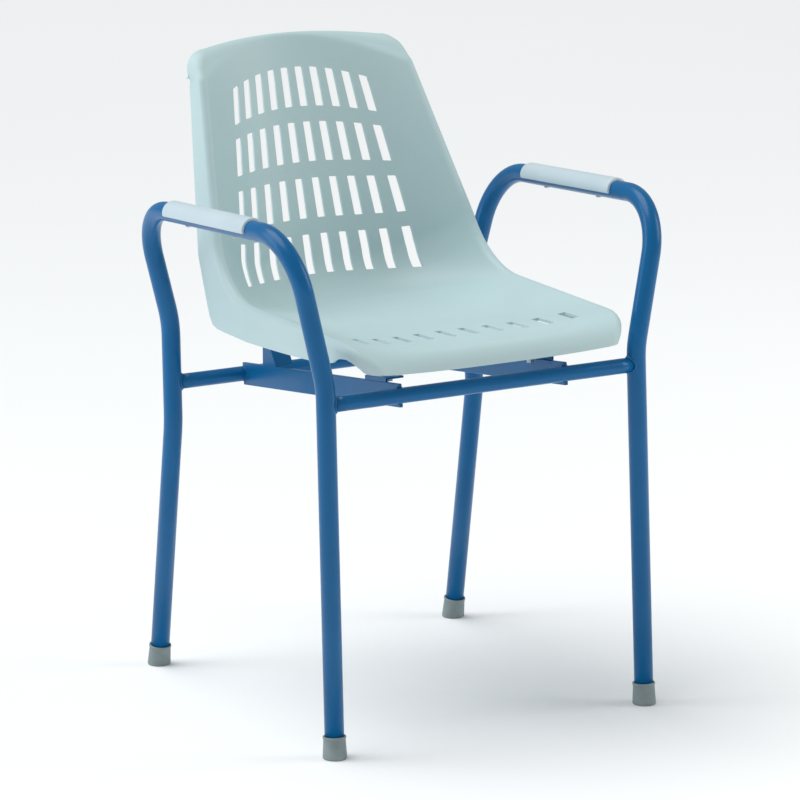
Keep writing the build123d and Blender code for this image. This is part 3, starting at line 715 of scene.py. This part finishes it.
def section(place):
    """The station with the slope, reach and rise of its dished part worked out."""
    centre, half_width, rim, facing, radius, skirt, power = station(place)
    slope = 0.3
    for _ in range(40):
        reach = half_width - radius * math.sin(slope)
        crest = along(rim, facing, radius * math.cos(slope))
        rise = (crest[0] - centre[0], crest[1] - centre[1])
        height = rise[0] * facing[0] + rise[1] * facing[1]
        slope = (slope + math.atan(max(0.0, power * height / reach))) / 2
    return centre, half_width, rim, facing, radius, skirt, power, slope, reach, rise


def dished(place, x):
    """A point of the visible side between the centre line and the rim's roll."""
    centre, _, _, _, _, _, power, _, reach, rise = section(place)
    y, z = along(centre, rise, (abs(x) / reach) ** power)
    return Vector((x, y, z))


def rolled(place, share, sign):
    """A point of the rim's roll, share 0 at its inner side and 1 where the skirt starts."""
    _, half_width, rim, facing, radius, _, _, slope, _, _ = section(place)
    angle = blend(-slope, math.pi / 2, share)
    y, z = along(rim, facing, radius * math.cos(angle))
    return Vector((sign * (half_width + radius * math.sin(angle)), y, z))


def hanging(place, share, sign):
    """A point of the skirt, share 1 at its edge."""
    _, half_width, rim, facing, radius, skirt, _, _, _, _ = section(place)
    y, z = along(rim, facing, -skirt * share)
    return Vector((sign * (half_width + radius), y, z))


def back_row_distance(height):
    seat, bend, _ = CENTRE_LINE.lengths
    return seat + bend + (height - CENTRE_LINE.arc_end[1]) / math.cos(BACK_LEAN)


def seat_distance(y):
    return (y - SEAT_FRONT[0]) / math.cos(CENTRE_LINE.first)


def slot_rows():
    """The rows of slots from front to top: (start, end) as distances along the centre line."""
    middle = seat_distance(SEAT_ROW_Y)
    rows = [(middle - SEAT_SLOT_LENGTH / 2, middle + SEAT_SLOT_LENGTH / 2)]
    for height in BACK_ROW_HEIGHTS:
        middle = back_row_distance(height)
        rows.append((middle - BACK_SLOT_LENGTH / 2, middle + BACK_SLOT_LENGTH / 2))
    return rows


def slot_pitch(distance):
    """Slot spacing: widest on the seat, closing steadily up the back."""
    lowest = back_row_distance(BACK_ROW_HEIGHTS[0])
    highest = back_row_distance(BACK_ROW_HEIGHTS[-1])
    if distance < lowest:
        change = smooth_step((distance - SEAT_PITCH_END) / (lowest - SEAT_PITCH_END))
        return blend(SEAT_ROW_PITCH, BACK_ROW_PITCHES[0], change)
    return blend(*BACK_ROW_PITCHES, (distance - lowest) / (highest - lowest))


def towards_back(distance):
    """0 among the seat's slots and 1 among the back's."""
    return smooth_step((distance - SLOT_CHANGE_START) / SLOT_CHANGE_LENGTH)


def slot_half_width(distance):
    return blend(SEAT_SLOT_WIDTH, BACK_SLOT_WIDTH, towards_back(distance)) / 2


CORNER_CUT = 0.9
OUTER_STEPS = 12
ROLL_STEPS = 10
SKIRT_STEPS = 6


def column_plan():
    """The grid's columns on one side of the centre line, in order. Slot columns carry the slot's
    number and which of its edges they are on; the others a share of the way across their zone."""
    columns = []
    for slot in range(SLOTS_PER_HALF_ROW):
        columns.append(("between", slot))
        for edge in (-1, -0.6, 0.6, 1):
            columns.append(("slot", slot, edge))
    for step in range(1, OUTER_STEPS + 1):
        columns.append(("outer", step / OUTER_STEPS))
    for step in range(1, ROLL_STEPS + 1):
        columns.append(("roll", step / ROLL_STEPS))
    for step in range(1, SKIRT_STEPS + 1):
        columns.append(("skirt", step / SKIRT_STEPS))
    return columns


def slot_x(column, distance):
    """Where a slot's column stands at a distance along the shell."""
    pitch = slot_pitch(distance)
    half = slot_half_width(distance)
    if column[0] == "between":
        return column[1] * pitch
    middle = (column[1] + 0.5) * pitch
    edge = column[2]
    if abs(edge) == 1:
        return middle + edge * half
    return middle + math.copysign(half - CORNER_CUT, edge)


def away_from_lips(distance):
    """1 among the slots, dying away to 0 at the two lips."""
    whole = sum(CENTRE_LINE.lengths)
    return smooth_step(distance / FRONT_FADE) * smooth_step((whole - distance) / TOP_FADE)


def sagged(distance, x):
    """Rows of slots droop towards the sides, and the droop dies away before the two lips."""
    sag = blend(SEAT_ROW_SAG, BACK_ROW_SAG, towards_back(distance))
    return distance - away_from_lips(distance) * x * x * sag


def grid_point(distance, column, sign):
    kind = column[0]
    if kind in ("between", "slot"):
        x = slot_x(column, distance)
        return dished(place_for(sagged(distance, x)), sign * x)
    edge = slot_x(("slot", SLOTS_PER_HALF_ROW - 1, 1), distance)
    if kind == "outer":
        share = column[1]
        droop = (distance - sagged(distance, edge)) * (1 - smooth_step(share))
        place = place_for(distance - droop)
        reach = section(place)[8]
        eased = 1 - (1 - share) ** 1.3
        return dished(place, sign * blend(edge, reach, eased))
    place = place_for(distance)
    if kind == "roll":
        return rolled(place, column[1], sign)
    return hanging(place, column[1], sign)


# Distances below zero run down the front roll, and those past the back's end run over the top roll.
FRONT_ROLL_LENGTH = FRONT_ROLL_RADIUS * math.pi / 2
TOP_ROLL_LENGTH = 26.0


def place_for(distance):
    whole = sum(CENTRE_LINE.lengths)
    if distance < 0:
        return max(-1.0, distance / FRONT_ROLL_LENGTH)
    if distance > whole:
        return min(4.0, 3 + (distance - whole) / TOP_ROLL_LENGTH)
    return CENTRE_LINE.place_at(distance)


def row_plan():
    """Distances of the grid's rows, and for each gap between rows the slot zone it lies in: 0 none,
    1 the first corner strip, 2 the slot, 3 the last corner strip."""
    whole = sum(CENTRE_LINE.lengths)
    marks = [(-FRONT_ROLL_LENGTH, 0)]
    for start, end in slot_rows():
        marks += [(start, 1), (start + CORNER_CUT, 2), (end - CORNER_CUT, 3), (end, 0)]
    marks += [(whole + TOP_ROLL_LENGTH, 0)]
    rows, zones = [], []
    for (here, zone), (following, _) in zip(marks, marks[1:]):
        steps = max(1, math.ceil((following - here) / 5.5))
        for step in range(steps):
            rows.append(blend(here, following, step / steps))
            zones.append(zone)
    rows.append(marks[-1][0])
    return rows, zones


def shell_grid():
    rows, zones = row_plan()
    half = column_plan()
    full = [(column, -1) for column in reversed(half[1:])]
    full += [(column, 1) for column in half]
    grid = [[grid_point(distance, column, sign) for column, sign in full] for distance in rows]
    return rows, grid, zones, full


def grid_normals(grid):
    """Normals of the grid, towards the underside."""
    normals = []
    last_row, last_column = len(grid) - 1, len(grid[0]) - 1
    for row in range(last_row + 1):
        line = []
        for column in range(last_column + 1):
            lengthwise = grid[min(row + 1, last_row)][column] - grid[max(row - 1, 0)][column]
            across = grid[row][min(column + 1, last_column)] - grid[row][max(column - 1, 0)]
            line.append(lengthwise.cross(across).normalized())
        normals.append(line)
    return normals


def through_wall(normal, column, distance):
    """The step from the visible side to the underside. Among the slots it runs the way the mould
    opens, so that a slot's walls are parallel, and outside them it turns to the surface's normal."""
    _, travel = CENTRE_LINE.point(min(max(place_for(distance), 0.0), 3.0))
    outwards = left_of(travel)
    opening = Vector((0, -outwards[0], -outwards[1]))
    if column[0] in ("between", "slot"):
        straight = away_from_lips(distance)
    elif column[0] == "outer":
        straight = away_from_lips(distance) * (1 - smooth_step(2 * column[1]))
    else:
        straight = 0.0
    step = normal.lerp(opening, straight).normalized()
    return step * (SHELL_WALL / max(0.5, step.dot(normal)))


def slot_corner(zone, left_edge, right_edge):
    """Which corner of its cell a slot's corner strip keeps: None, or (row side, column side)."""
    if zone == 2 or not (left_edge or right_edge):
        return None
    return (0 if zone == 1 else 1), (0 if left_edge else 1)


def seat_shell():
    """Both skins of the shell with the slots left open, walled along every edge."""
    rows, grid, zones, full = shell_grid()
    normals = grid_normals(grid)
    width = len(full)
    vertices = [tuple(point) for line in grid for point in line]
    for distance, line, line_normals in zip(rows, grid, normals):
        for point, normal, (column, _) in zip(line, line_normals, full):
            vertices.append(tuple(point + through_wall(normal, column, distance)))
    below = len(grid) * width
    faces = []
    used_edges = {}

    def add(corners):
        faces.append(corners)
        faces.append([index + below for index in reversed(corners)])
        for first, second in zip(corners, corners[1:] + corners[:1]):
            key = (min(first, second), max(first, second))
            used_edges[key] = used_edges.get(key, 0) + 1

    for row in range(len(grid) - 1):
        for column in range(width - 1):
            near, far = full[column][0], full[column + 1][0]
            quad = [
                row * width + column,
                row * width + column + 1,
                (row + 1) * width + column + 1,
                (row + 1) * width + column,
            ]
            inside = near[0] == "slot" and far[0] == "slot" and near[1] == far[1] and zones[row]
            if not inside:
                add(quad)
                continue
            at_start = abs(near[2]) == 1
            at_end = abs(far[2]) == 1
            kept = slot_corner(zones[row], at_start, at_end)
            if kept is None:
                continue
            drop = {(0, 0): 2, (0, 1): 3, (1, 1): 0, (1, 0): 1}[kept]
            add([index for place, index in enumerate(quad) if place != drop])
    for (first, second), count in used_edges.items():
        if count == 1:
            faces.append([first, second, second + below, first + below])
    used = sorted({index for face in faces for index in face})
    renumbered = {old: new for new, old in enumerate(used)}
    vertices = [vertices[index] for index in used]
    faces = [[renumbered[index] for index in face] for face in faces]
    plastic = ("shell_plastic", MATERIALS["shell_plastic"])
    piece = make_piece("moulded_shell", vertices, faces, *plastic, ["seat_shell"])
    round_edges(piece, 0.6, segments=3, angle=50.0)


def fixing_frames():
    """Where each fixing stands: its point on the bracket's tab and its axis, on the +X side."""
    front_z = bar_top_z(FRONT_FIXING_Y) + FRONT_BRACKET_RISE
    lean = Vector((0, math.sin(BAR_RAKE), math.cos(BAR_RAKE)))
    yield Vector((FRONT_FIXING_X, FRONT_FIXING_Y, front_z)), lean
    yield Vector((REAR_FIXING_X, REAR_FIXING_Y, REAR_BRACKET_TOP_Z)), Vector((0, 0, 1))


def underside_z(spot):
    """Height of the shell's underside above a spot, found by halving the seat's stretch."""
    low, high = -0.2, 1.5
    for _ in range(30):
        middle = (low + high) / 2
        if dished(middle, spot.x).y < spot.y:
            low = middle
        else:
            high = middle
    return dished(low, spot.x).z - SHELL_WALL


def bosses():
    """Posts under the shell that the screws go into."""
    parts = []
    sizes = (0.95, 0.99, 1.0, 1.0)
    for spot, axis in fixing_frames():
        length = underside_z(spot) - spot.z + SHELL_WALL / 2
        for sign in (1, -1):
            foot = Vector((spot.x * sign, spot.y, spot.z))
            stops = (BUSH_HEIGHT, BUSH_HEIGHT + 1, length * 0.5, length)
            path = [foot + axis * stop for stop in stops]
            parts.append(tube(path, BOSS_RADIUS, swell=lambda index: sizes[index]))
    vertices, faces = join_parts(parts)
    piece = make_piece("shell_bosses", vertices, faces, "shell_plastic", MATERIALS["shell_plastic"])
    piece.data.set_sharp_from_angle(angle=math.radians(50))


# ---------------------------------------------------------------- armrest pads
def pad_section(thickness):
    """The pad's cross-section as (angle from the top, radius), with rounded long edges."""
    inner = TUBE_RADIUS
    outer = inner + thickness - 0.02
    middle = (inner + outer) / 2
    half = thickness / 2
    points = []
    steps = 28
    for step in range(steps + 1):
        points.append((blend(-PAD_HALF_ANGLE, PAD_HALF_ANGLE, step / steps), outer))
    for step in range(1, 6):
        turn = math.pi * step / 6
        points.append((PAD_HALF_ANGLE + math.sin(turn) * half / middle, middle + math.cos(turn) * half))
    for step in range(steps + 1):
        points.append((blend(PAD_HALF_ANGLE, -PAD_HALF_ANGLE, step / steps), inner))
    for step in range(1, 6):
        turn = math.pi * step / 6
        points.append((-PAD_HALF_ANGLE - math.sin(turn) * half / middle, middle - math.cos(turn) * half))
    return points


def pads():
    start = Vector(FRONT_ARM_CORNER)
    direction = (Vector(REAR_ARM_CORNER) - start).normalized()
    low, high = (start + direction * ((y - start.y) / direction.y) for y in PAD_Y)
    length = (high - low).length
    rounding = 5.0
    across = Vector((1, 0, 0))
    up = across.cross(direction)
    if up.z < 0:
        up = -up
    stops = [0.0, 0.5, 1.3]
    stops += [1.3 + (length - 1.3 - rounding) * step / 30 for step in range(1, 31)]
    stops += [length - rounding * (1 - math.sin(math.pi / 2 * step / 6)) for step in range(1, 7)]
    rings = []
    for stop in stops:
        thickness = PAD_THICKNESS
        if stop < 1.3:
            thickness -= 0.6 * (1 - math.sqrt(1 - (1 - stop / 1.3) ** 2))
        if stop > length - rounding:
            share = (stop - (length - rounding)) / rounding
            thickness -= 2.4 * (1 - math.sqrt(max(0.0, 1 - share ** 2)))
        centre = low + direction * stop
        ring = []
        for angle, radius in pad_section(thickness):
            ring.append(centre + across * (math.sin(angle) * radius) + up * (math.cos(angle) * radius))
        rings.append(ring)
    count = len(rings[0])
    vertices = [tuple(point) for ring in rings for point in ring]
    faces = [list(range(count)), [(len(rings) - 1) * count + step for step in range(count)]]
    for ring in range(len(rings) - 1):
        for step in range(count):
            beside = (step + 1) % count
            near, far = ring * count, (ring + 1) * count
            faces.append([near + step, near + beside, far + beside, far + step])
    for name, place in SIDES.items():
        part = place_part((vertices, faces), place)
        node = name + "_armrest_pad"
        piece = make_piece(name + "_arm_pad", *part, "pad_plastic", MATERIALS["pad_plastic"], [node])
        piece.data.set_sharp_from_angle(angle=math.radians(50))


# ---------------------------------------------------------------- ferrules
def ferrule_profile():
    """(radius, height) from the floor up: a rounded foot, a taper and a small lip."""
    profile = [(14.1, 0.0), (14.9, 0.25), (15.4, 1.0), (15.5, 2.2)]
    taper_top = FERRULE_HEIGHT - 3.6
    for step in range(1, 9):
        share = step / 8
        profile.append((blend(15.5, 14.2, share), blend(2.2, taper_top, share)))
    profile += [(14.35, taper_top + 0.3), (14.9, taper_top + 0.7), (15.0, taper_top + 1.3)]
    profile += [(15.0, FERRULE_HEIGHT - 0.9), (14.6, FERRULE_HEIGHT - 0.2), (14.0, FERRULE_HEIGHT)]
    profile += [(13.2, FERRULE_HEIGHT - 0.1), (12.6, FERRULE_HEIGHT - 0.6), (12.55, FERRULE_HEIGHT - 6.0)]
    return profile


def ferrules():
    sides = 48
    ends = {"front": (FRONT_FOOT, FRONT_KINK), "rear": (REAR_FOOT, REAR_LOWER_KINK)}
    for end, (foot, kink) in ends.items():
        for name, place in SIDES.items():
            axis = (Vector(kink) - Vector(foot)).normalized()
            side = Vector((1, 0, 0)) - axis * axis.x
            side.normalize()
            across = axis.cross(side)
            vertices = []
            for radius, height in ferrule_profile():
                for step in range(sides):
                    angle = 2 * math.pi * step / sides
                    offset = side * (math.cos(angle) * radius) + across * (math.sin(angle) * radius)
                    point = Vector(foot) + axis * height + offset
                    if height < 3.0:
                        point += axis * ((height - point.z) / axis.z)
                    vertices.append(place(tuple(point)))
            count = len(ferrule_profile())
            faces = [list(range(sides)), [(count - 1) * sides + step for step in range(sides)]]
            for ring in range(count - 1):
                for step in range(sides):
                    beside = (step + 1) % sides
                    near, far = ring * sides, (ring + 1) * sides
                    faces.append([near + step, near + beside, far + beside, far + step])
            piece = make_piece(
                "%s_%s_rubber_foot" % (end, name),
                vertices,
                faces,
                "ferrule_rubber",
                MATERIALS["ferrule_rubber"],
                ["%s_%s_ferrule" % (end, name)],
            )
            piece.data.set_sharp_from_angle(angle=math.radians(60))


# ---------------------------------------------------------------- carried-over CAD nodes
def paint_cad_nodes():
    slots = {entry["node"]: entry["material_slot"] for entry in frame["record"]["subparts"]}
    for name, node in frame["nodes"].items():
        node.data.materials.clear()
        node.data.materials.append(MATERIALS[slots[name]])


# ---------------------------------------------------------------- stage, lights and camera
def stage():
    mesh = bpy.data.meshes.new("floor")
    half = 20.0
    corners = [(-half, -half, 0), (half, -half, 0), (half, half, 0), (-half, half, 0)]
    mesh.from_pydata(corners, [], [[0, 1, 2, 3]])
    mesh.materials.append(floor_paint())
    floor = bpy.data.objects.new("floor", mesh)
    bpy.context.scene.collection.objects.link(floor)
    world = bpy.data.worlds.new("studio")
    world.use_nodes = True
    background = world.node_tree.nodes["Background"]
    background.inputs["Color"].default_value = (0.93, 0.98, 1.0, 1.0)
    background.inputs["Strength"].default_value = 0.38
    bpy.context.scene.world = world


def softbox(name, place, target, size, power, colour):
    light = bpy.data.lights.new(name, "AREA")
    light.shape = "RECTANGLE"
    light.size, light.size_y = size
    light.energy = power
    light.color = colour
    lamp = bpy.data.objects.new(name, light)
    lamp.location = place
    lamp.rotation_euler = (Vector(target) - Vector(place)).to_track_quat("-Z", "Y").to_euler()
    bpy.context.scene.collection.objects.link(lamp)


def broad_overhead(strength):
    """A very wide, soft light from above that keeps the whole floor even."""
    light = bpy.data.lights.new("overhead", "SUN")
    light.energy = strength
    light.angle = math.radians(50)
    lamp = bpy.data.objects.new("overhead", light)
    lamp.rotation_euler = (math.radians(-14), math.radians(-18), 0)
    bpy.context.scene.collection.objects.link(lamp)


def lights():
    middle = (0.0, 0.0, 0.5)
    softbox("left_back_softbox", (-2.6, 1.3, 1.6), middle, (1.4, 2.0), 25, (0.86, 0.93, 1.0))
    softbox("right_softbox", (2.7, -1.5, 1.9), middle, (1.6, 1.8), 28, (1.0, 1.0, 0.98))
    broad_overhead(2.0)


def camera():
    data = bpy.data.cameras.new("camera")
    data.sensor_width = 36.0
    data.lens = CAMERA_LENS
    data.shift_x, data.shift_y = CAMERA_SHIFT
    data.clip_end = 100.0
    eye = bpy.data.objects.new("camera", data)
    eye.location = row_point(CAMERA_PLACE)
    look = row_point(CAMERA_TARGET) - row_point(CAMERA_PLACE)
    eye.rotation_euler = look.to_track_quat("-Z", "Y").to_euler()
    bpy.context.scene.collection.objects.link(eye)
    bpy.context.scene.camera = eye


paint_cad_nodes()
side_frames()
rails_and_welds()
bars()
bar_welds()
brackets()
seat_shell()
bosses()
pads()
ferrules()
stage()
lights()
camera()
bpy.context.scene.view_settings.view_transform = "Standard"

bpy.context.view_layer.update()
